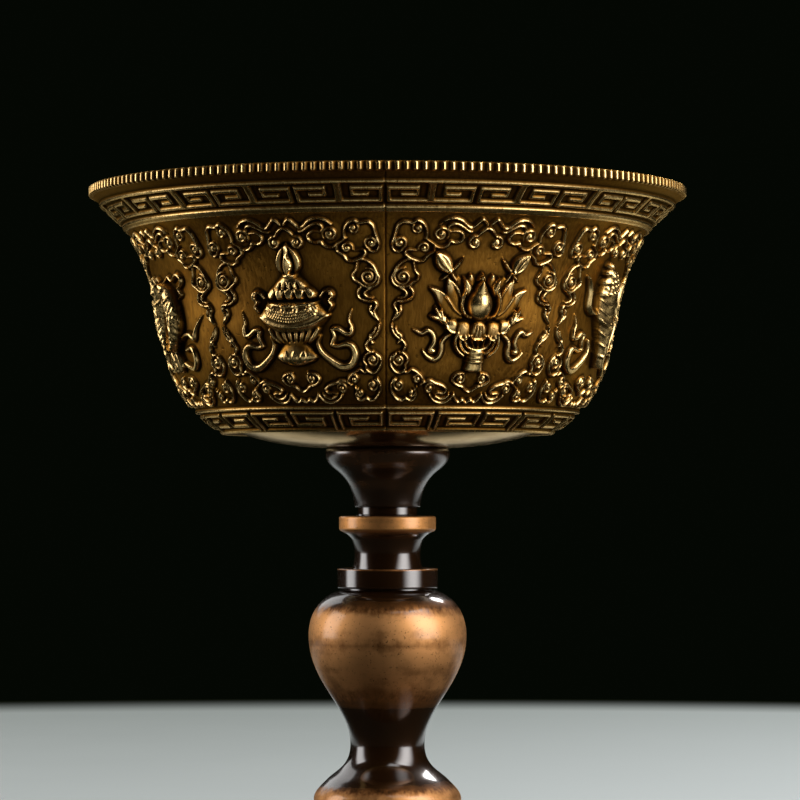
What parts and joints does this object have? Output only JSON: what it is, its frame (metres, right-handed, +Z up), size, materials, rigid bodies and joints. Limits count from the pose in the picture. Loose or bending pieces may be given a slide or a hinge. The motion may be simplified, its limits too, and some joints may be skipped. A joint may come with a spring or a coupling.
{
  "type": "offering cup",
  "caption": "Footed ritual offering cup: wide cast brass bowl with carved lucky symbols, cloud borders and fret bands, screwed to a turned dark bronze stem with a flared foot.",
  "frame": {"origin": "centre of the face that the foot stands on", "axes": "+Z up along the axis of the cup, -Y towards the seam between two carved panels that faces the viewer"},
  "size_m": [0.0962, 0.0962, 0.1238],
  "materials": {
    "antique_brass": "cast brass, darkened in the recesses and rubbed bright on the ridges",
    "polished_brass": "spun and polished brass",
    "dark_bronze": "turned brass, chemically darkened and lacquered to a gloss, rubbed back to copper on the swells",
    "bright_copper": "turned and rubbed back to a copper colour, lacquered",
    "steel": "zinc-plated steel",
    "fibre": "pressed fibre washer"
  },
  "bodies": {
    "stem": {"seat_cup": "dark_bronze", "copper_ring": "bright_copper", "neck_spool": "dark_bronze", "collar_disc": "dark_bronze", "baluster": "dark_bronze", "foot": "dark_bronze", "tie_rod": "steel", "foot_washer": "steel", "foot_nut": "steel"},
    "washer": {"seat_washer": "fibre"},
    "bowl": {"rim_ring": "antique_brass", "upper_fret": "antique_brass", "lower_fret": "antique_brass", "symbol_relief": "antique_brass", "cloud_relief": "antique_brass", "relief_jacket": "antique_brass", "inner_bowl": "polished_brass", "bowl_boss": "polished_brass"}
  },
  "joints": [
    {"name": "bowl_turn", "type": "hinge", "parent": "stem", "child": "washer", "pos_m": [0, 0, 0.0821], "axis": [0, 0, 1], "range_deg": [0, 2250]},
    {"name": "bowl_rise", "type": "slide", "parent": "washer", "child": "bowl", "axis": [0, 0, 1], "range_m": [0, 0.005]}
  ],
  "couplings": [
    {"joint": "bowl_rise", "follows": "bowl_turn", "m_per_rad": 0.00012732}
  ]
}
